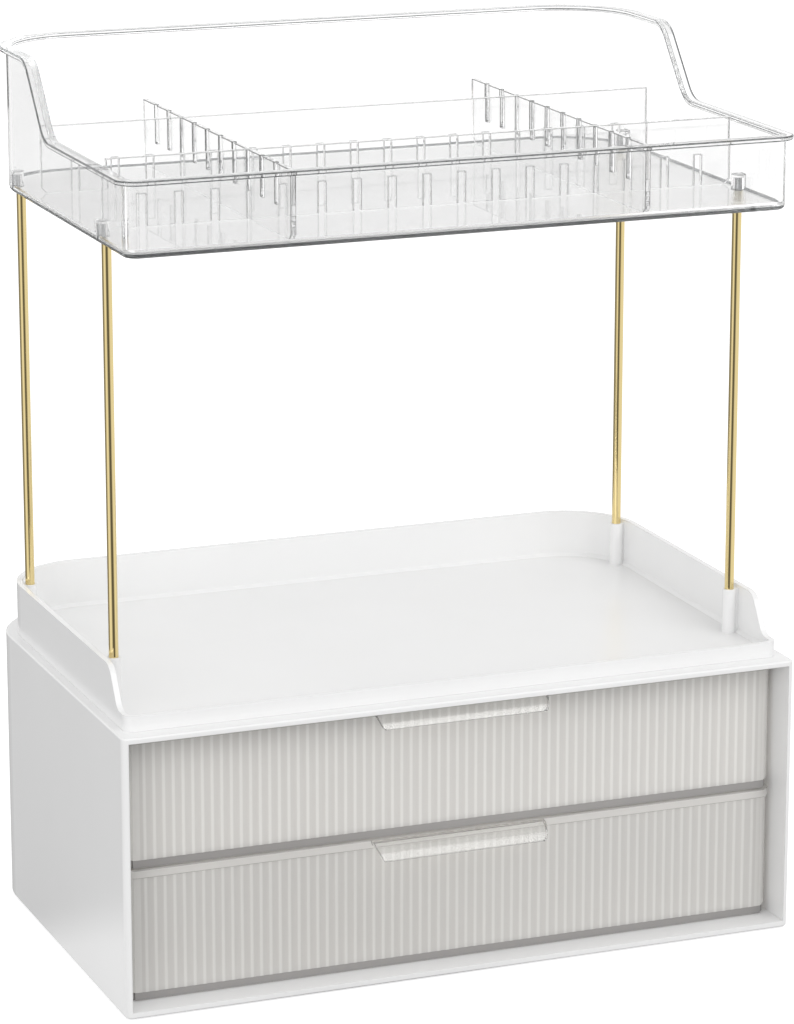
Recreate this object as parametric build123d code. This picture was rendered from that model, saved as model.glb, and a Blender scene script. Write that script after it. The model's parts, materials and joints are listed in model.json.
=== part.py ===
from build123d import *
import math
import os

# Makeup organizer: a white case with two clear drawers, a white tray on its roof, four gold rods, and a
# clear tray with removable dividers carried on the rods. Millimetres, +Z up, the front faces -Y, and the
# origin is at the middle of the footprint, on the table.

# Fits used all over the object
seat_gap = 0.3
pin_fit = 0.05
cut_over = 5.0

# Footprint of the case, which the trays follow with an inset
overall_width = 300.0
overall_depth = 196.0
rear_radius = 38.0

# Case: one moulding, open at the front
foot_height = 0.8
case_height = 119.8
case_wall = 2.6
case_floor = 2.6
case_roof = 2.3
case_front_radius = 3.0
case_edge_chamfer = 0.6

# Foot pads stuck under the case
foot_length = 16.0
foot_width = 8.0
foot_corner_cut = 1.0
foot_inset_side = 18.0
foot_inset_front = 18.0
foot_inset_rear = 26.0

# Runners on the case walls, under the rim of each drawer
runner_width = 4.4
runner_thickness = 2.2
runner_setback = 22.0
runner_length = 136.0
runner_side_gap = 0.6

# Drawers
drawer_count = 2
drawer_recess = 12.0
drawer_floor_gap = 0.3
drawer_stack_gap = 0.7
drawer_head_gap = 0.7
drawer_side_gap = 0.9
drawer_rear_gap = 1.6
drawer_wall = 2.0
drawer_floor = 2.4
drawer_inner_corner = 5.0
drawer_inner_chamfer = 2.0
front_panel_depth = 6.0
front_corner_radius = 5.5
rim_height = 3.5
rim_overhang = 0.7
base_band_height = 3.4
base_band_inset = 0.6

# Reeds on the drawer fronts
reed_count = 67
reed_pitch = 4.16
reed_height = 0.38

# Pull lip on each drawer
lip_width_root = 78.0
lip_width_tip = 73.0
lip_reach = 9.6
lip_turn_degrees = 70.0
lip_thickness = 2.0
lip_corner_radius = 3.0

# White tray on the case roof
base_inset_side = 4.0
base_inset_front = 8.0
base_inset_rear = 8.0
base_wall = 2.5
base_floor = 2.2
base_front_height = 6.7
base_rear_height = 23.0
base_front_radius = 5.0
base_inner_chamfer = 1.5
base_sweep_start = 24.0
base_sweep_degrees = 58.0
base_sweep_low_radius = 6.0
base_sweep_high_radius = 8.0

# Bosses of the white tray, which hold the rods
boss_height = 21.7
boss_diameter = 5.8
boss_web_thickness = 2.0

# Rods and the pins in their upper ends
rod_diameter = 4.0
rod_bore = 3.2
rod_length = 182.1
rod_seat_depth = 9.7
rod_inset_side = 10.6
rod_inset_front = 43.0
rod_inset_rear = 35.0
pin_reach = 7.5
pin_depth = 12.0

# Clear tray on the rods
upper_inset_side = 6.0
upper_inset_front = 3.0
upper_inset_rear = 3.0
upper_wall = 2.4
upper_floor = 2.4
upper_front_height = 31.3
upper_rear_height = 61.5
upper_front_radius = 6.0
upper_inner_chamfer = 1.0
upper_sweep_middle = 115.0
upper_sweep_degrees = 50.0
upper_sweep_radius = 14.0
upper_lip_reach = 3.0
upper_lip_thickness = 2.0
socket_diameter = 6.2
socket_roof = 1.4

# Removable dividers, slotted to cross each other and pushed to the right as far as they go
divider_thickness = 2.4
divider_height = 28.3
divider_slot_gap = 0.3
divider_corner_cut = 2.0
divider_shift = 3.1
long_slot_height = 13.0
cross_slot_depth = 16.5
slot_pitch_across = 15.4
slot_pitch_deep = 16.7
cross_divider_pitch_count = 5
long_divider_pitch_count = 2.5

# Heights and half sizes that follow from the sizes above
half_width = overall_width / 2
half_depth = overall_depth / 2
case_bottom = foot_height
case_top = case_bottom + case_height
bay_half_width = half_width - case_wall
bay_back = half_depth - case_wall
bay_bottom = case_bottom + case_floor
bay_top = case_top - case_roof
bay_radius = rear_radius - case_wall
pin_diameter = rod_bore - 2 * pin_fit
drawer_gaps = drawer_floor_gap + drawer_head_gap + drawer_stack_gap * (drawer_count - 1)
drawer_height = (bay_top - bay_bottom - drawer_gaps) / drawer_count
drawer_pitch = drawer_height + drawer_stack_gap
drawer_base = bay_bottom + drawer_floor_gap
drawer_front = -half_depth + drawer_recess
boss_top = case_top + boss_height
rod_bottom = boss_top - rod_seat_depth
rod_top = rod_bottom + rod_length
upper_bottom = rod_top + seat_gap
upper_floor_top = upper_bottom + upper_floor
upper_half_width = half_width - upper_inset_side
upper_front_y = -half_depth + upper_inset_front
upper_rear_y = half_depth - upper_inset_rear
upper_middle_y = (upper_front_y + upper_rear_y) / 2
divider_bottom = upper_floor_top + seat_gap
divider_top = divider_bottom + divider_height


def outline(half_x, front, rear, front_radius, back_radius):
    """Face of a footprint with its own corner radius at the front and at the rear."""
    corners = [(-half_x, front), (half_x, front), (half_x, rear), (-half_x, rear)]
    face = make_face(Polyline(*corners, close=True))
    rows = face.vertices().group_by(Axis.Y)
    if back_radius > 0:
        face = fillet(rows[-1], back_radius)
    if front_radius > 0:
        face = fillet(face.vertices().group_by(Axis.Y)[0], front_radius)
    return face


def slab(face, bottom, top):
    """Solid of a footprint between two heights."""
    return Pos(0, 0, bottom) * extrude(face, top - bottom)


def block(low_x, high_x, low_y, high_y, low_z, high_z):
    """Straight block between two corners."""
    size = Box(high_x - low_x, high_y - low_y, high_z - low_z)
    return Pos((low_x + high_x) / 2, (low_y + high_y) / 2, (low_z + high_z) / 2) * size


def post(place, diameter, bottom, top):
    """Upright cylinder at a place in the plan, between two heights."""
    cylinder = Cylinder(diameter / 2, top - bottom, align=(Align.CENTER, Align.CENTER, Align.MIN))
    return Pos(place[0], place[1], bottom) * cylinder


def across(edges, half_x):
    """Solid swept along X from a closed line of (y, z) edges."""
    face = Plane.YZ * make_face(edges)
    return Pos(-half_x, 0, 0) * extrude(face, 2 * half_x)


def four_corners(x, front, rear):
    """Names of the four corners with their places in the plan."""
    return {
        "front_left": (-x, front),
        "front_right": (x, front),
        "back_left": (-x, rear),
        "back_right": (x, rear),
    }


def foot_places():
    """Corners and centres of the foot pads."""
    front = -half_depth + foot_inset_front
    rear = half_depth - foot_inset_rear
    return four_corners(half_width - foot_inset_side, front, rear)


def rod_places():
    """Corners and centres of the rods."""
    front = -half_depth + rod_inset_front
    rear = half_depth - rod_inset_rear
    return four_corners(half_width - rod_inset_side, front, rear)


def drawer_bottom(level):
    """Height of a drawer's underside, counted from the lowest drawer."""
    return drawer_base + level * drawer_pitch


def runner_pair(level):
    """Two ledges on the side walls that carry one drawer by its rim."""
    top = drawer_bottom(level) + drawer_height - rim_height - seat_gap
    front = -half_depth + runner_setback
    inner = bay_half_width - runner_width
    right = block(inner, bay_half_width, front, front + runner_length, top - runner_thickness, top)
    return [right, mirror(right, Plane.YZ)]


def make_case():
    """Open-fronted case with its runners."""
    plan = outline(half_width, -half_depth, half_depth, case_front_radius, rear_radius)
    shell = slab(plan, case_bottom, case_top)
    rims = shell.edges().group_by(Axis.Z)
    shell = chamfer(rims[0] + rims[-1], case_edge_chamfer)
    bay = outline(bay_half_width, -half_depth - cut_over, bay_back, 0, bay_radius)
    shell -= slab(bay, bay_bottom, bay_top)
    for level in range(drawer_count):
        for runner in runner_pair(level):
            shell += runner
    return shell


def make_foot(place):
    """Flat pad that raises the case off the table."""
    plan = chamfer(Rectangle(foot_length, foot_width).vertices(), foot_corner_cut)
    return Pos(place[0], place[1], 0) * extrude(plan, case_bottom)


def reeds(bottom, top):
    """Row of half-round reeds standing on the front panel."""
    panel = drawer_front + reed_height
    half_row = reed_count * reed_pitch / 2
    arcs = []
    for index in range(reed_count):
        left = -half_row + index * reed_pitch
        crest = (left + reed_pitch / 2, drawer_front)
        arcs.append(ThreePointArc((left, panel), crest, (left + reed_pitch, panel)))
    back = panel + drawer_wall / 2
    sides = Polyline((half_row, panel), (half_row, back), (-half_row, back), (-half_row, panel))
    return slab(make_face([*arcs, *sides.edges()]), bottom, top)


def pull_lip(top):
    """Curved lip that leaves the rim level and turns down in front of the drawer."""
    turn = math.radians(lip_turn_degrees)
    radius = lip_reach / math.sin(turn)
    inner = radius - lip_thickness
    root = drawer_front - rim_overhang
    centre = top - radius

    def point(reach, angle):
        return (root - reach * math.sin(angle), centre + reach * math.cos(angle))

    behind = root + rim_overhang + drawer_wall / 2
    outer_arc = ThreePointArc(point(radius, 0), point(radius, turn / 2), point(radius, turn))
    tip = Line(point(radius, turn), point(inner, turn))
    inner_arc = ThreePointArc(point(inner, turn), point(inner, turn / 2), point(inner, 0))
    seat = Polyline(point(inner, 0), (behind, centre + inner), (behind, top), point(radius, 0))
    lip = across([outer_arc, tip, inner_arc, *seat.edges()], lip_width_root / 2)
    low = centre + inner * math.cos(turn)
    half_root = lip_width_root / 2
    half_tip = lip_width_tip / 2
    corners = [(-half_root, top), (half_root, top), (half_tip, low), (-half_tip, low)]
    shape = make_face(Polyline(*corners, close=True))
    shape = fillet(shape.vertices().group_by(Axis.Y)[0], lip_corner_radius)
    return lip & Pos(0, -half_depth, 0) * extrude(Plane.XZ * shape, -2 * half_depth)


def make_drawer(level):
    """Clear drawer: reeded front, base band, rim that hangs on the runners, and pull lip."""
    bottom = drawer_bottom(level)
    top = bottom + drawer_height
    rim_half = bay_half_width - drawer_side_gap
    rim_back = bay_back - drawer_rear_gap
    rim_radius = bay_radius - drawer_side_gap
    panel_half = rim_half - rim_overhang
    panel_face = drawer_front + reed_height / 2
    tub_half = bay_half_width - runner_width - runner_side_gap
    tub_back = rim_back - rim_overhang
    tub_radius = rim_radius - (rim_half - tub_half)
    band_top = bottom + base_band_height
    rim_bottom = top - rim_height
    cavity_half = tub_half - drawer_wall
    cavity_front = drawer_front + reed_height + drawer_wall
    cavity_radius = tub_radius - drawer_wall

    panel_back = drawer_front + front_panel_depth
    panel = slab(outline(panel_half, panel_face, panel_back, front_corner_radius, 0), band_top, rim_bottom)
    band_half = panel_half - base_band_inset
    band_face = panel_face + base_band_inset
    band_corner = front_corner_radius - base_band_inset
    band = slab(outline(band_half, band_face, panel_back, band_corner, 0), bottom, band_top)
    tub = slab(outline(tub_half, cavity_front - drawer_wall, tub_back, 0, tub_radius), bottom, top)
    rim_front = drawer_front - rim_overhang
    rim_corner = front_corner_radius + rim_overhang
    rim = slab(outline(rim_half, rim_front, rim_back, rim_corner, rim_radius), rim_bottom, top)
    cavity = slab(
        outline(cavity_half, cavity_front, tub_back - drawer_wall, drawer_inner_corner, cavity_radius),
        bottom + drawer_floor,
        top + cut_over,
    )
    cavity = chamfer(cavity.edges().group_by(Axis.Z)[0], drawer_inner_chamfer)
    drawer = panel + band + tub + rim + reeds(band_top, rim_bottom) + pull_lip(top)
    return drawer - cavity


def sweep_region(low, high, start, end, low_radius, high_radius, floor, front, rear, half_x):
    """Solid under a rim line that runs level, climbs in a sweep from start to end, and runs level again."""
    path = [(front, low), (start, low), (end, high), (rear, high)]
    rim = FilletPolyline(*path, radius=[low_radius, high_radius])
    base = Polyline((rear, high), (rear, floor), (front, floor), (front, low))
    return across([*rim.edges(), *base.edges()], half_x)


def base_region():
    """Solid under the rim line of the white tray."""
    run = (base_rear_height - base_front_height) / math.tan(math.radians(base_sweep_degrees))
    middle = -half_depth + base_sweep_start
    return sweep_region(
        case_top + base_front_height,
        case_top + base_rear_height,
        middle - run / 2,
        middle + run / 2,
        base_sweep_low_radius,
        base_sweep_high_radius,
        case_top,
        -half_depth,
        half_depth,
        half_width,
    )


def make_base_tray():
    """White tray whose side walls climb in a sweep behind its low front, with four rod bosses."""
    outer_half = half_width - base_inset_side
    front = -half_depth + base_inset_front
    rear = half_depth - base_inset_rear
    outer_radius = rear_radius - base_inset_side
    top = case_top + base_rear_height
    floor_top = case_top + base_floor
    outer = outline(outer_half, front, rear, base_front_radius, outer_radius)
    inner = outline(
        outer_half - base_wall,
        front + base_wall,
        rear - base_wall,
        base_front_radius - base_wall,
        outer_radius - base_wall,
    )
    cavity = slab(inner, floor_top, top + cut_over)
    cavity = chamfer(cavity.edges().group_by(Axis.Z)[0], base_inner_chamfer)
    tray = (slab(outer, case_top, top) - cavity) & base_region()
    wall_middle = outer_half - base_wall / 2
    half_web = boss_web_thickness / 2
    for place in rod_places().values():
        x, y = place
        low_x, high_x = sorted((x, math.copysign(wall_middle, x)))
        tray += block(low_x, high_x, y - half_web, y + half_web, case_top, boss_top)
        tray += post(place, boss_diameter, case_top, boss_top)
        tray -= post(place, rod_diameter + 2 * pin_fit, rod_bottom - seat_gap, boss_top)
    return tray


def make_rod(place):
    """Tube that stands in a boss of the white tray and carries the clear tray."""
    return post(place, rod_diameter, rod_bottom, rod_top) - post(place, rod_bore, rod_bottom, rod_top)


def make_pin(place):
    """Pin pressed into the rod's upper end, which enters the clear tray's socket."""
    return post(place, pin_diameter, rod_top - pin_depth, rod_top + pin_reach)


def upper_region(drop):
    """Solid under the rim line of the clear tray, lowered by drop."""
    run = (upper_rear_height - upper_front_height) / math.tan(math.radians(upper_sweep_degrees))
    middle = -half_depth + upper_sweep_middle
    return sweep_region(
        upper_bottom + upper_front_height - drop,
        upper_bottom + upper_rear_height - drop,
        middle - run / 2,
        middle + run / 2,
        upper_sweep_radius,
        upper_sweep_radius,
        upper_bottom,
        -half_depth - cut_over,
        half_depth + cut_over,
        half_width + cut_over,
    )


def slot_places(pitch, limit, offset):
    """Evenly pitched places either side of the middle, no further out than the limit."""
    count = int((limit - offset) / pitch)
    right = [offset + index * pitch for index in range(count + 1)]
    return sorted({*right, *[-place for place in right]})


def make_upper_tray():
    """Clear tray: low front, high back, flat outward lip and rod sockets."""
    outer_radius = rear_radius - upper_inset_rear
    inner_half = upper_half_width - upper_wall
    inner_front = upper_front_y + upper_wall
    inner_rear = upper_rear_y - upper_wall
    inner_front_radius = upper_front_radius - upper_wall
    inner_radius = outer_radius - upper_wall
    top = upper_bottom + upper_rear_height
    outer = outline(upper_half_width, upper_front_y, upper_rear_y, upper_front_radius, outer_radius)
    inner = outline(inner_half, inner_front, inner_rear, inner_front_radius, inner_radius)
    cavity = slab(inner, upper_floor_top, top + cut_over)
    cavity = chamfer(cavity.edges().group_by(Axis.Z)[0], upper_inner_chamfer)
    lip_plan = outline(
        upper_half_width + upper_lip_reach,
        upper_front_y - upper_lip_reach,
        upper_rear_y + upper_lip_reach,
        upper_front_radius + upper_lip_reach,
        outer_radius + upper_lip_reach,
    )
    lip = (slab(lip_plan, upper_bottom, top) & upper_region(0)) - upper_region(upper_lip_thickness)
    tray = (slab(outer, upper_bottom, top) & upper_region(0)) + lip - cavity
    bore_top = upper_bottom + pin_reach
    for place in rod_places().values():
        tray += post(place, socket_diameter, upper_bottom, bore_top + socket_roof)
        tray -= post(place, pin_diameter + 2 * pin_fit, upper_bottom, bore_top)
    return tray


def divider_plate(half_length):
    """Upright plate along X with its two lower corners cut."""
    cut = divider_corner_cut
    points = [
        (-half_length, divider_top),
        (-half_length, divider_bottom + cut),
        (-half_length + cut, divider_bottom),
        (half_length - cut, divider_bottom),
        (half_length, divider_bottom + cut),
        (half_length, divider_top),
    ]
    face = Plane.XZ * make_face(Polyline(*points, close=True))
    return extrude(face, divider_thickness / 2, both=True)


def cut_slots(plate, places, inner, outer):
    """Plate with a slot at each place along X, closed at its inner height and open at its outer one."""
    half = divider_thickness / 2 + divider_slot_gap
    low, high = sorted((inner, outer))
    tool = block(-half, half, -divider_thickness, divider_thickness, low, high)
    for place in places:
        plate -= Pos(place, 0, 0) * tool
    return plate


def make_long_divider(side):
    """Plate across the tray, near its right wall, slotted from below to drop over the cross dividers."""
    half_length = upper_half_width - upper_wall - seat_gap - divider_shift
    places = slot_places(slot_pitch_across, half_length - slot_pitch_across / 2, 0)
    top = divider_bottom + long_slot_height
    plate = cut_slots(divider_plate(half_length), places, top, divider_bottom - cut_over)
    depth_place = upper_middle_y + side * long_divider_pitch_count * slot_pitch_deep
    return Pos(divider_shift, depth_place, 0) * plate


def make_cross_divider(side):
    """Plate from front to back, slotted from above to take the long dividers."""
    half_length = (upper_rear_y - upper_front_y) / 2 - upper_wall - seat_gap
    places = slot_places(slot_pitch_deep, half_length - slot_pitch_deep / 2, slot_pitch_deep / 2)
    bottom = divider_top - cross_slot_depth
    plate = cut_slots(divider_plate(half_length), places, bottom, divider_top + cut_over)
    across_place = divider_shift + side * cross_divider_pitch_count * slot_pitch_across
    return Pos(across_place, upper_middle_y, 0) * Rot(0, 0, 90) * plate


def make_parts():
    """Every piece of the object by its name."""
    parts = {"case": make_case(), "base_tray": make_base_tray(), "upper_tray": make_upper_tray()}
    for corner, place in foot_places().items():
        parts[f"foot_pad_{corner}"] = make_foot(place)
    for corner, place in rod_places().items():
        parts[f"rod_{corner}"] = make_rod(place)
        parts[f"top_pin_{corner}"] = make_pin(place)
    for level, name in enumerate(("lower", "upper")):
        parts[f"{name}_drawer"] = make_drawer(level)
    for side, name in ((-1, "front"), (1, "back")):
        parts[f"long_divider_{name}"] = make_long_divider(side)
    for side, name in ((-1, "left"), (1, "right")):
        parts[f"cross_divider_{name}"] = make_cross_divider(side)
    return parts


os.makedirs("parts", exist_ok=True)
for part_name, part in make_parts().items():
    export_step(part, f"parts/{part_name}.step")
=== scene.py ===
import json
import math

import bmesh
import bpy
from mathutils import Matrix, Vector


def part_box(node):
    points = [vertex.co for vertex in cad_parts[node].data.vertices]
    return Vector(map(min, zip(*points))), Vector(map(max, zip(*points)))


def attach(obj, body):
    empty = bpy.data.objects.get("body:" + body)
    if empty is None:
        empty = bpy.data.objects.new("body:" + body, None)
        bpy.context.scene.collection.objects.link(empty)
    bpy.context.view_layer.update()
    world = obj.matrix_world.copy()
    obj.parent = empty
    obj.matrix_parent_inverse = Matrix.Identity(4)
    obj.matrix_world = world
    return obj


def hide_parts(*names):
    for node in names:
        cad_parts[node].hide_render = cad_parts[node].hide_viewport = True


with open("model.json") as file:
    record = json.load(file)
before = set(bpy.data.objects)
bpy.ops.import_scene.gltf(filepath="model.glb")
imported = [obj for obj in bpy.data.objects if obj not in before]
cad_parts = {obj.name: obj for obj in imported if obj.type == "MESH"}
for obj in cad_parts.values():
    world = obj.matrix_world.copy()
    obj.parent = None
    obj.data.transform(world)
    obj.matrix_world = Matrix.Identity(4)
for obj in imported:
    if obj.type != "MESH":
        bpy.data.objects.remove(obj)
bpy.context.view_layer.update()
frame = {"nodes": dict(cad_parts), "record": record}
print("frame loaded:", len(frame["nodes"]), "nodes")


def linearColour(hexText):
    # sRGB hex to the linear values that Blender's sockets take
    values = []
    for start in (1, 3, 5):
        value = int(hexText[start:start + 2], 16) / 255
        values.append(value / 12.92 if value <= 0.04045 else ((value + 0.055) / 1.055) ** 2.4)
    return (*values, 1.0)


white = linearColour("#FFFFFF")


def addNode(tree, kind, inputs=None, **settings):
    # An input is a value, a socket to link from, or a node whose first output is linked
    node = tree.nodes.new(kind)
    for name, value in settings.items():
        setattr(node, name, value)
    for name, value in (inputs or {}).items():
        if isinstance(value, bpy.types.Node):
            value = value.outputs[0]
        if isinstance(value, bpy.types.NodeSocket):
            tree.links.new(value, node.inputs[name])
        else:
            node.inputs[name].default_value = value
    return node


def newMaterial(name):
    material = bpy.data.materials.new(name)
    material.use_nodes = True
    material.node_tree.nodes.clear()
    return material, material.node_tree


# Satin white ABS, injection moulded in a lightly spark-eroded mould: soft, wide highlights over a very fine
# grain, which is drawn coarser than the real one so that it shows. The clouding, the grain, its depth and the
# edge are in millimetres
whitePlastic = {
    "colour": "#F3F3F3",
    "shade": "#EEEEEE",
    "roughness": 0.25,
    "ior": 1.53,
    "clouding": 60,
    "grain": 0.35,
    "grainDepth": 0.05,
    "grainStrength": 0.05,
    "edge": 0.45,
}


def makeWhitePlastic(name, look):
    material, tree = newMaterial(name)
    place = addNode(tree, "ShaderNodeTexCoord").outputs["Object"]
    cloud = addNode(
        tree, "ShaderNodeTexNoise", {"Vector": place, "Scale": 1000 / look["clouding"], "Detail": 2.0}
    )
    colour, shade = linearColour(look["colour"]), linearColour(look["shade"])
    tone = addNode(
        tree, "ShaderNodeMix", {"Factor": cloud.outputs["Fac"], "A": colour, "B": shade}, data_type="RGBA"
    )
    grain = addNode(
        tree, "ShaderNodeTexNoise", {"Vector": place, "Scale": 1000 / look["grain"], "Detail": 1.0}
    )
    rounded = addNode(tree, "ShaderNodeBevel", {"Radius": look["edge"] / 1000}, samples=6)
    relief = addNode(
        tree,
        "ShaderNodeBump",
        {
            "Height": grain.outputs["Fac"],
            "Strength": look["grainStrength"],
            "Distance": look["grainDepth"] / 1000,
            "Normal": rounded.outputs["Normal"],
        },
    )
    shader = addNode(
        tree,
        "ShaderNodeBsdfPrincipled",
        {
            "Base Color": tone.outputs["Result"],
            "Roughness": look["roughness"],
            "IOR": look["ior"],
            "Normal": relief.outputs["Normal"],
        },
    )
    addNode(tree, "ShaderNodeOutputMaterial", {"Surface": shader.outputs["BSDF"]})
    return material


# Crystal polystyrene, moulded in a polished mould: almost invisible walls with faint waves where it flowed,
# and grey lines of painted shade along their rounded edges, darkest on the tray, paler on the cross dividers
# and palest on the long ones. The waves' spacing and depth are in millimetres
clearPlastic = {
    "colour": "#FAFAFA",
    # Painted shade: the grey colours of the rounded edges
    "longEdgePaintedShade": "#9C9D9D",
    "crossEdgePaintedShade": "#5C5D5D",
    "trayEdgePaintedShade": "#3C3E3F",
    "roughness": 0.0,
    "mattRoughness": 0.3,
    "ior": 1.5,
    "passes": "#F6F7F7",
    "flow": 35,
    "flowShade": 0.96,
    "flowDepth": 0.05,
}


def passLamps(tree, shader, colour):
    # Lets the lamps through, so that they light what stands behind the plastic
    path = addNode(tree, "ShaderNodeLightPath")
    clear = addNode(tree, "ShaderNodeBsdfTransparent", {"Color": linearColour(colour)})
    return addNode(tree, "ShaderNodeMixShader", {0: path.outputs["Is Shadow Ray"], 1: shader, 2: clear})


def makeClearPlastic(name, look, tint, finish="roughness"):
    # The tint and the finish are two of the look's keys; for the edge materials the tint is painted shade
    material, tree = newMaterial(name)
    place = addNode(tree, "ShaderNodeTexCoord").outputs["Object"]
    flow = addNode(
        tree, "ShaderNodeTexNoise", {"Vector": place, "Scale": 1000 / look["flow"], "Detail": 2.0}
    )
    pale = linearColour(look[tint])
    deep = [value * look["flowShade"] for value in pale[:3]]
    tone = addNode(
        tree,
        "ShaderNodeMix",
        {"Factor": flow.outputs["Fac"], "A": pale, "B": (*deep, 1.0)},
        data_type="RGBA",
    )
    wave = addNode(
        tree,
        "ShaderNodeBump",
        {"Height": flow.outputs["Fac"], "Strength": 1.0, "Distance": look["flowDepth"] / 1000},
    )
    shader = addNode(
        tree,
        "ShaderNodeBsdfPrincipled",
        {
            "Base Color": tone.outputs["Result"],
            "Roughness": look[finish],
            "IOR": look["ior"],
            "Transmission Weight": 1.0,
            "Normal": wave.outputs["Normal"],
        },
    )
    addNode(tree, "ShaderNodeOutputMaterial", {"Surface": passLamps(tree, shader, look["passes"])})
    return material


# Polystyrene with a little white in it, moulded with reeds on the front: the light the reeds gather along
# their crests is a painted highlight with painted shade between them, and the thick foot of the front, which
# looks dark, is painted shade. Lengths are in millimetres
drawerPlastic = {
    "colour": "#F3F1EE",
    "crest": "#F8F7F4",
    "valleyShade": "#E8E6E3",
    # Painted shade for the thick foot of the front
    "foot": "#AEACAB",
    "lip": "#FFFFFE",
    # Painted shade: the lower drawer is drawn darker than the upper, though both are the same plastic
    "paintedShades": {"lower_drawer": 0.91, "upper_drawer": 1.0},
    "paintedEdgeShade": 0.5,  # painted shade: the rounded edges are drawn this much darker
    "roughness": 0.05,
    "ior": 1.5,
    "clear": 0.32,  # this share of the light goes through, the rest is scattered
    "lipClearer": 0.62,  # and this much more in the pull lip
    "passes": "#FAF9F7",
    "reedPitch": 4.16,
    "reedRow": 139.36,  # half the row's width
    "crestFrom": 0.3,  # the painted highlight fades out between these two distances from the middle of a reed's top
    "crestTo": 1.0,
    "plainShare": 0.6,  # how much of that painted highlight the plain strips beside the row have
    "frontFrom": -83.4,
    "footFrom": -79.9,
    "lipFrom": -87.2,
    "footHeight": 3.4,
    "rimHeight": 3.5,
}


def makeDrawerPlastic(name, look, drawer, shade):
    # A shade below 1 is painted shade: the same plastic drawn darker
    low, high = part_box(drawer)
    footTop = low[2] * 1000 + look["footHeight"]
    rimBottom = high[2] * 1000 - look["rimHeight"]
    material, tree = newMaterial(name)
    place = addNode(tree, "ShaderNodeTexCoord").outputs["Object"]
    inMillimetres = addNode(tree, "ShaderNodeVectorMath", {0: place, "Scale": 1000.0}, operation="SCALE")
    parts = addNode(tree, "ShaderNodeSeparateXYZ", {"Vector": inMillimetres})
    across, deep, up = parts.outputs
    # Distance from the nearest reed top, and from it the share of painted highlight: 1 on a reed's top and 0
    # between two
    off = addNode(tree, "ShaderNodeMath", {0: across, 1: look["reedPitch"] / 2}, operation="PINGPONG")
    fade = {"From Min": look["crestFrom"], "From Max": look["crestTo"], "To Min": 1.0, "To Max": 0.0}
    crest = addNode(tree, "ShaderNodeMapRange", {"Value": off, **fade}, interpolation_type="SMOOTHSTEP")
    side = addNode(tree, "ShaderNodeMath", {0: across}, operation="ABSOLUTE")
    beyond = addNode(tree, "ShaderNodeMath", {0: side, 1: look["reedRow"]}, operation="GREATER_THAN")
    wave = addNode(
        tree,
        "ShaderNodeMix",
        {"Factor": beyond, "A": crest.outputs["Result"], "B": look["plainShare"]},
        data_type="FLOAT",
    )
    # Painted highlight along the crests and painted shade between them
    reeds = addNode(
        tree,
        "ShaderNodeMix",
        {
            "Factor": wave.outputs["Result"],
            "A": linearColour(look["valleyShade"]),
            "B": linearColour(look["crest"]),
        },
        data_type="RGBA",
    )
    front = addNode(tree, "ShaderNodeMath", {0: deep, 1: look["frontFrom"]}, operation="LESS_THAN")
    belowRim = addNode(tree, "ShaderNodeMath", {0: up, 1: rimBottom}, operation="LESS_THAN")
    panel = addNode(tree, "ShaderNodeMath", {0: front, 1: belowRim}, operation="MULTIPLY")
    body = addNode(
        tree,
        "ShaderNodeMix",
        {"Factor": panel, "A": linearColour(look["colour"]), "B": reeds.outputs["Result"]},
        data_type="RGBA",
    )
    nearFront = addNode(tree, "ShaderNodeMath", {0: deep, 1: look["footFrom"]}, operation="LESS_THAN")
    nearFoot = addNode(tree, "ShaderNodeMath", {0: up, 1: footTop}, operation="LESS_THAN")
    foot = addNode(tree, "ShaderNodeMath", {0: nearFront, 1: nearFoot}, operation="MULTIPLY")
    # Painted shade on the thick foot of the front
    tone = addNode(
        tree,
        "ShaderNodeMix",
        {"Factor": foot, "A": body.outputs["Result"], "B": linearColour(look["foot"])},
        data_type="RGBA",
    )
    lip = addNode(tree, "ShaderNodeMath", {0: deep, 1: look["lipFrom"]}, operation="LESS_THAN")
    lipTone = addNode(
        tree,
        "ShaderNodeMix",
        {"Factor": lip, "A": tone.outputs["Result"], "B": linearColour(look["lip"])},
        data_type="RGBA",
    )
    # Painted shade multiplied in: the lower drawer darker, and the edge material darker still
    dimmed = addNode(
        tree,
        "ShaderNodeMix",
        {"Factor": 1.0, "A": lipTone.outputs["Result"], "B": (shade, shade, shade, 1.0)},
        data_type="RGBA",
        blend_type="MULTIPLY",
    )
    clear = addNode(
        tree, "ShaderNodeMath", {0: lip, 1: look["lipClearer"], 2: look["clear"]}, operation="MULTIPLY_ADD"
    )
    shader = addNode(
        tree,
        "ShaderNodeBsdfPrincipled",
        {
            "Base Color": dimmed.outputs["Result"],
            "Roughness": look["roughness"],
            "IOR": look["ior"],
            "Transmission Weight": clear,
        },
    )
    addNode(tree, "ShaderNodeOutputMaterial", {"Surface": passLamps(tree, shader, look["passes"])})
    return material


# Electroplated steel tube, drawn and polished: a warm gold mirror with fine lines along it. The lines are as
# wide as they need to be to show, in millimetres, and the stretch times as long
goldTube = {"colour": "#EFDDA8", "shade": "#E3CC8E", "roughness": 0.07, "lines": 0.4, "stretch": 50}


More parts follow.
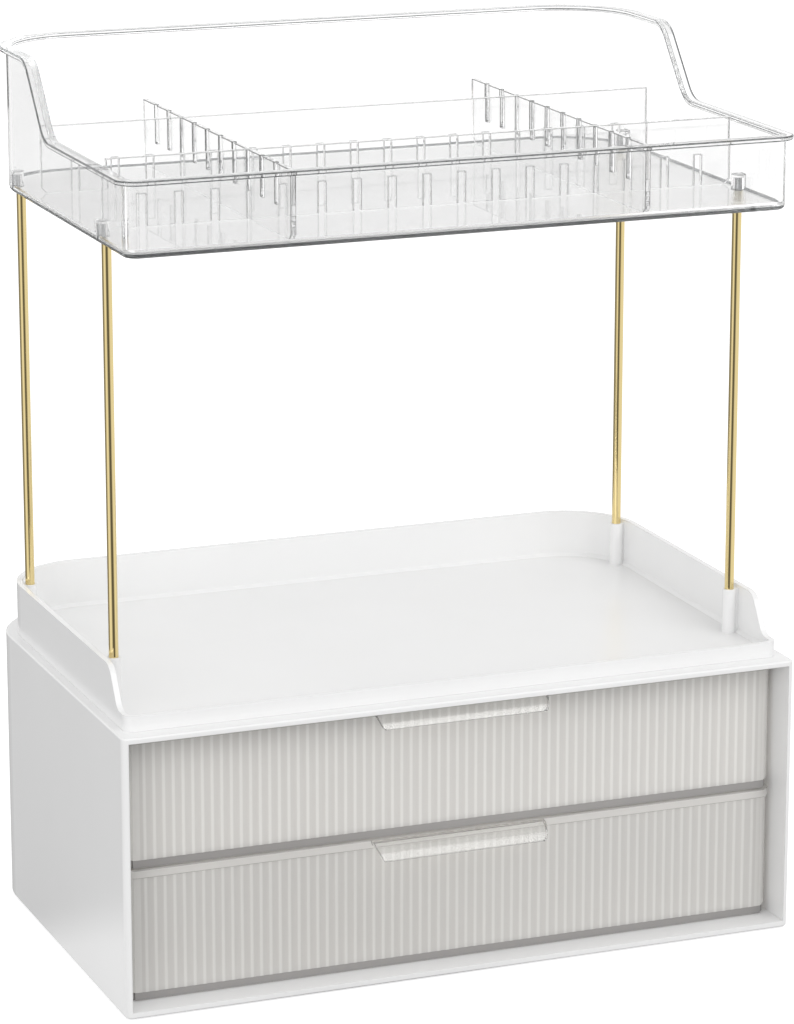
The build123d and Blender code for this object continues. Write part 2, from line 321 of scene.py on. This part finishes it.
def makeMetal(name, look):
    material, tree = newMaterial(name)
    place = addNode(tree, "ShaderNodeTexCoord").outputs["Object"]
    along = addNode(tree, "ShaderNodeMapping", {"Vector": place, "Scale": (1.0, 1.0, 1 / look["stretch"])})
    lines = addNode(
        tree,
        "ShaderNodeTexNoise",
        {"Vector": along.outputs["Vector"], "Scale": 1000 / look["lines"], "Detail": 2.0},
    )
    colour, shade = linearColour(look["colour"]), linearColour(look["shade"])
    tone = addNode(
        tree, "ShaderNodeMix", {"Factor": lines.outputs["Fac"], "A": colour, "B": shade}, data_type="RGBA"
    )
    shader = addNode(
        tree,
        "ShaderNodeBsdfPrincipled",
        {"Base Color": tone.outputs["Result"], "Metallic": 1.0, "Roughness": look["roughness"]},
    )
    addNode(tree, "ShaderNodeOutputMaterial", {"Surface": shader.outputs["BSDF"]})
    return material


# Steel pin, turned and unplated: a soft grey shine with fine lines
steelPin = {"colour": "#A9AAAB", "shade": "#8B8C8E", "roughness": 0.3, "lines": 0.3, "stretch": 50}
# Thin silicone rubber pad, moulded: pale grey and matt, with a coarser grain
padRubber = {
    "colour": "#CFCFCD",
    "shade": "#C2C2C0",
    "roughness": 0.7,
    "ior": 1.53,
    "clouding": 60,
    "grain": 0.6,
    "grainDepth": 0.05,
    "grainStrength": 0.05,
    "edge": 0.3,
}

# The finish of each slot, and of the nodes that have one of their own
finishes = {
    "white_plastic": makeWhitePlastic("satinAbsWhite", whitePlastic),
    "clear_plastic": makeClearPlastic("crystalPolystyrene", clearPlastic, "colour"),
    "gold_metal": makeMetal("goldPlatedTube", goldTube),
    "pin_steel": makeMetal("turnedSteel", steelPin),
    "pad_rubber": makeWhitePlastic("siliconePad", padRubber),
}
# The same for the rounded edges of the clear mouldings, whose grey is painted shade for the light they bend
# away
paintedEdgeShadeFinishes = {
    "clear_plastic": makeClearPlastic("polystyreneEdgePaintedShade", clearPlastic, "longEdgePaintedShade"),
    "upper_tray": makeClearPlastic("polystyreneRimPaintedShade", clearPlastic, "trayEdgePaintedShade"),
}
paintedCutEdgeShade = makeClearPlastic("polystyreneCutEdgePaintedShade", clearPlastic, "crossEdgePaintedShade")
for side in ("left", "right"):
    paintedEdgeShadeFinishes[f"cross_divider_{side}"] = paintedCutEdgeShade
# Painted shade: each drawer's plastic, the lower one drawn darker, and its rounded edges drawn darker still
for drawer, shade in drawerPlastic["paintedShades"].items():
    paintedEdgeShade = shade * drawerPlastic["paintedEdgeShade"]
    finishes[drawer] = makeDrawerPlastic(f"milkyPolystyrene_{drawer}", drawerPlastic, drawer, shade)
    paintedEdgeShadeFinishes[drawer] = makeDrawerPlastic(f"milkyPaintedEdgeShade_{drawer}", drawerPlastic, drawer, paintedEdgeShade)
# The clear tray's underside, spark-eroded to a fine matt that blurs what is under it
underside = makeClearPlastic("polystyreneMatt", clearPlastic, "colour", "mattRoughness")

slotOf = {entry["node"]: entry["material_slot"] for entry in frame["record"]["subparts"]}
bodyOf = {}
for body, nodes in frame["record"]["behaviour"]["bodies"].items():
    for node in nodes:
        bodyOf[node] = body


def finishOf(node, table):
    return table.get(node, table.get(slotOf[node]))


for node, piece in frame["nodes"].items():
    piece.data.materials.clear()
    piece.data.materials.append(finishOf(node, finishes))
print("materials set")

# The clear mouldings again with their edges rounded, as moulding leaves them: a clear wall shows mostly by
# the lines of painted shade on its rounded edges. Lengths are in millimetres and angles in degrees
softEdges = {
    "lip": 0.6,
    "base": 2.0,
    "tray": 0.2,
    "divider": 0.35,
    "drawer": 0.2,
    "segments": 3,
    "weld": 0.001,  # points closer than this are one, and after the rounding those closer than the next
    "weldAfter": 0.01,
    "flush": 0.5,  # faces that meet at less than this angle are one
    "sharpFrom": 50.0,  # edges are rounded from this angle up
    "creaseFrom": 13.0,  # and shaded as a crease from this one up
}
# The clear tray's outline in metres: corner radii of the lip at the front and at the back, the lip's reach,
# and how far the tray's foot stands back from the lip
trayOutline = {"frontRadius": 0.009, "backRadius": 0.038, "lip": 0.0025, "foot": 0.0035}
# The drawers' reeds lie between these depths in metres and keep the edges of the CAD part
reedDepths = (-0.0863, -0.0849)
# A piece's underside is what lies less than this above its lowest point, in metres, and looks down: the
# height part of its normal is below the second number
level = 1e-5
downward = -0.99


def depthInside(spot, low, high, outline):
    # How far a point lies inside a footprint with rounded corners
    radius = outline["frontRadius"] if spot.y < 0 else outline["backRadius"]
    side = high[0] - abs(spot.x)
    end = spot.y - low[1] if spot.y < 0 else high[1] - spot.y
    if side < radius and end < radius:
        return radius - math.hypot(radius - side, radius - end)
    return min(side, end)


def roundEdges(shape, edges, radius, look):
    # The faces made get the second material, the painted shade of the edges
    made = bmesh.ops.bevel(
        shape,
        geom=edges,
        offset=radius / 1000,
        offset_type="OFFSET",
        segments=look["segments"],
        profile=0.5,
        affect="EDGES",
        clamp_overlap=False,
        material=-1,
    )
    for face in made["faces"]:
        face.material_index = 1


def sharpEdges(shape, look, leaveOut=(0, 0)):
    # All but those that lie between the two depths left out
    limit = math.radians(look["sharpFrom"])
    low, high = leaveOut
    found = []
    for edge in shape.edges:
        outside = any(not low < end.co.y < high for end in edge.verts)
        if outside and edge.calc_face_angle(0) > limit:
            found.append(edge)
    return found


def makeSoftCopy(node, look, outline=None, leaveOut=(0, 0)):
    # Only the clear tray has an outline: its lip and its foot are rounder than its other edges
    low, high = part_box(node)
    lowest = low[2] + level
    shape = bmesh.new()
    shape.from_mesh(frame["nodes"][node].data)
    bmesh.ops.remove_doubles(shape, verts=shape.verts, dist=look["weld"] / 1000)
    flush = math.radians(look["flush"])
    bmesh.ops.dissolve_limit(shape, angle_limit=flush, verts=shape.verts, edges=shape.edges)
    if outline:
        lip, foot = [], []
        for edge in sharpEdges(shape, look):
            inside = max(depthInside(end.co, low, high, outline) for end in edge.verts)
            if inside < outline["lip"]:
                lip.append(edge)
            elif inside < outline["foot"] and max(end.co.z for end in edge.verts) < lowest:
                foot.append(edge)
        roundEdges(shape, lip, look["lip"], look)
        roundEdges(shape, [edge for edge in foot if edge.is_valid], look["base"], look)
        for face in shape.faces:
            if face.normal.z < downward and face.calc_center_median().z < lowest:
                face.material_index = 2
    kind = next(word for word in ("divider", "drawer", "tray") if word in node)
    rest = sharpEdges(shape, look, leaveOut)
    if kind == "divider":  # the plates stand on edges left sharp, which don't show
        rest = [edge for edge in rest if max(end.co.z for end in edge.verts) > lowest]
    roundEdges(shape, rest, look[kind], look)
    bmesh.ops.remove_doubles(shape, verts=shape.verts, dist=look["weldAfter"] / 1000)
    crease = math.radians(look["creaseFrom"])
    for face in shape.faces:
        face.smooth = True
    for edge in shape.edges:
        edge.smooth = edge.calc_face_angle(0) < crease
    mesh = bpy.data.meshes.new(f"soft_{node}")
    shape.to_mesh(mesh)
    shape.free()
    oldNormals = mesh.attributes.get("custom_normal")
    if oldNormals:
        mesh.attributes.remove(oldNormals)
    mesh.materials.append(finishOf(node, finishes))
    mesh.materials.append(finishOf(node, paintedEdgeShadeFinishes))
    if outline:
        mesh.materials.append(underside)
    piece = bpy.data.objects.new(f"soft_{node}", mesh)
    bpy.context.scene.collection.objects.link(piece)
    normals = piece.modifiers.new("normals", "WEIGHTED_NORMAL")
    normals.keep_sharp = True
    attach(piece, bodyOf[node])
    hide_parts(node)
    print("softened", node, len(mesh.polygons), "faces")


makeSoftCopy("upper_tray", softEdges, trayOutline)
for node, slot in slotOf.items():
    if slot == "drawer_plastic":
        makeSoftCopy(node, softEdges, leaveOut=reedDepths)
    elif slot == "clear_plastic" and node != "upper_tray":
        makeSoftCopy(node, softEdges)

# Floor, world and lamps, in metres and watts. The room is what gloss and metal show of it: degrees round the
# object, from the middle of its front towards its right, each with its brightness
stageLook = {
    "floorSize": 14.0,
    "floorColour": "#C6C6C6",
    "floorGlow": 0.72,
    "worldSeen": 1.0,
    "worldDiffuse": 0.83,
    "keyPower": 18.5,
    "keyPlace": (1.1, -1.9, 1.9),
    "keyAim": (0.0, 0.0, 0.15),
    "keySize": 1.6,
    "sidePower": 11.0,
    "sidePlace": (-1.9, -1.5, 0.7),
    "sideAim": (0.0, 0.0, 0.1),
    "sideSize": 1.2,
    "room": (
        (-180, 0.33),
        (-104, 0.28),
        (-88, 1.0),
        (-58, 1.0),
        (-34, 0.14),
        (-4, 0.14),
        (22, 0.95),
        (160, 0.95),
        (168, 0.33),
    ),
}


def roomShade(tree, direction, room):
    parts = addNode(tree, "ShaderNodeSeparateXYZ", {"Vector": direction})
    away = addNode(tree, "ShaderNodeMath", {0: parts.outputs["Y"], 1: -1.0}, operation="MULTIPLY")
    turn = addNode(tree, "ShaderNodeMath", {0: parts.outputs["X"], 1: away}, operation="ARCTAN2")
    share = addNode(tree, "ShaderNodeMapRange", {"Value": turn, "From Min": -math.pi, "From Max": math.pi})
    ramp = addNode(tree, "ShaderNodeValToRGB", {"Fac": share})
    steps = ramp.color_ramp.elements
    while len(steps) < len(room):
        steps.new(0.5)
    for step, (degrees, shade) in zip(steps, room):
        step.position = (degrees + 180) / 360
        step.color = (shade, shade, shade, 1.0)
    return ramp.outputs["Color"]


def makeFloor(look):
    mesh = bpy.data.meshes.new("studioFloor")
    shape = bmesh.new()
    bmesh.ops.create_grid(shape, x_segments=1, y_segments=1, size=look["floorSize"] / 2)
    shape.to_mesh(mesh)
    shape.free()
    floor = bpy.data.objects.new("studioFloor", mesh)
    bpy.context.scene.collection.objects.link(floor)
    material, tree = newMaterial("paperFloor")
    path = addNode(tree, "ShaderNodeLightPath").outputs
    place = addNode(tree, "ShaderNodeTexCoord").outputs["Object"]
    seen = addNode(
        tree,
        "ShaderNodeMath",
        {0: path["Is Camera Ray"], 1: path["Is Transmission Ray"]},
        operation="MAXIMUM",
    )
    glow = addNode(tree, "ShaderNodeMath", {0: seen, 1: look["floorGlow"]}, operation="MULTIPLY")
    paper = addNode(tree, "ShaderNodeBsdfDiffuse", {"Color": linearColour(look["floorColour"])})
    light = addNode(tree, "ShaderNodeEmission", {"Color": white, "Strength": glow})
    both = addNode(tree, "ShaderNodeAddShader", {0: paper, 1: light})
    shade = roomShade(tree, place, look["room"])
    room = addNode(tree, "ShaderNodeEmission", {"Color": shade, "Strength": 1.0})
    mirrored = addNode(
        tree,
        "ShaderNodeMath",
        {0: path["Is Glossy Ray"], 1: path["Is Transmission Ray"]},
        operation="GREATER_THAN",
    )
    shown = addNode(tree, "ShaderNodeMixShader", {0: mirrored, 1: both, 2: room})
    addNode(tree, "ShaderNodeOutputMaterial", {"Surface": shown})
    mesh.materials.append(material)
    # The glow depends on the kind of ray, so no ray is aimed at it as at a lamp, nor at the world
    material.cycles.emission_sampling = "NONE"


def makeWorld(look):
    # Brighter for what is seen, through clear plastic too or in gloss, than as the light on matt surfaces
    world = bpy.data.worlds.new("studioWorld")
    bpy.context.scene.world = world
    world.use_nodes = True
    world.cycles.sampling_method = "NONE"
    tree = world.node_tree
    tree.nodes.clear()
    path = addNode(tree, "ShaderNodeLightPath").outputs
    direct = addNode(
        tree,
        "ShaderNodeMath",
        {0: path["Is Camera Ray"], 1: path["Is Transmission Ray"]},
        operation="MAXIMUM",
    )
    shown = addNode(tree, "ShaderNodeMath", {0: direct, 1: path["Is Glossy Ray"]}, operation="MAXIMUM")
    strength = addNode(
        tree,
        "ShaderNodeMix",
        {"Factor": shown, "A": look["worldDiffuse"], "B": look["worldSeen"]},
        data_type="FLOAT",
    )
    sky = addNode(tree, "ShaderNodeBackground", {"Color": white, "Strength": strength.outputs["Result"]})
    addNode(tree, "ShaderNodeOutputWorld", {"Surface": sky})


def makeLamp(kind, look):
    lamp = bpy.data.lights.new(f"{kind}Lamp", "AREA")
    lamp.shape = "SQUARE"
    lamp.size = look[f"{kind}Size"]
    lamp.energy = look[f"{kind}Power"]
    holder = bpy.data.objects.new(f"{kind}Lamp", lamp)
    bpy.context.scene.collection.objects.link(holder)
    holder.location = look[f"{kind}Place"]
    aim = Vector(look[f"{kind}Aim"]) - Vector(look[f"{kind}Place"])
    holder.rotation_euler = aim.to_track_quat("-Z", "Y").to_euler()


makeFloor(stageLook)
makeWorld(stageLook)
makeLamp("key", stageLook)
makeLamp("side", stageLook)
print("stage set")

# Camera at the photograph's viewing angle: place and what it sees in metres, angles in degrees, lens and
# sensor in millimetres
cameraLook = {
    "place": (-0.6440, -1.6486, 0.6445),
    "pitch": 14.814,
    "yaw": 21.543,
    "lens": 149.68,
    "sensor": 36.0,
    "sees": (0.05, 60.0),
}
cameraData = bpy.data.cameras.new("camera")
cameraData.lens = cameraLook["lens"]
cameraData.sensor_width = cameraLook["sensor"]
cameraData.clip_start, cameraData.clip_end = cameraLook["sees"]
camera = bpy.data.objects.new("camera", cameraData)
bpy.context.scene.collection.objects.link(camera)
camera.location = cameraLook["place"]
camera.rotation_euler = (math.radians(90 - cameraLook["pitch"]), 0, -math.radians(cameraLook["yaw"]))
bpy.context.scene.camera = camera

# Many walls of clear plastic stand behind one another, and each takes two bounces
bounces = {"clear": 96, "diffuse": 6}
scene = bpy.context.scene
scene.view_settings.view_transform = "Standard"
scene.cycles.max_bounces = bounces["clear"]
scene.cycles.transmission_bounces = bounces["clear"]
scene.cycles.transparent_max_bounces = bounces["clear"]
scene.cycles.glossy_bounces = bounces["clear"]
scene.cycles.diffuse_bounces = bounces["diffuse"]
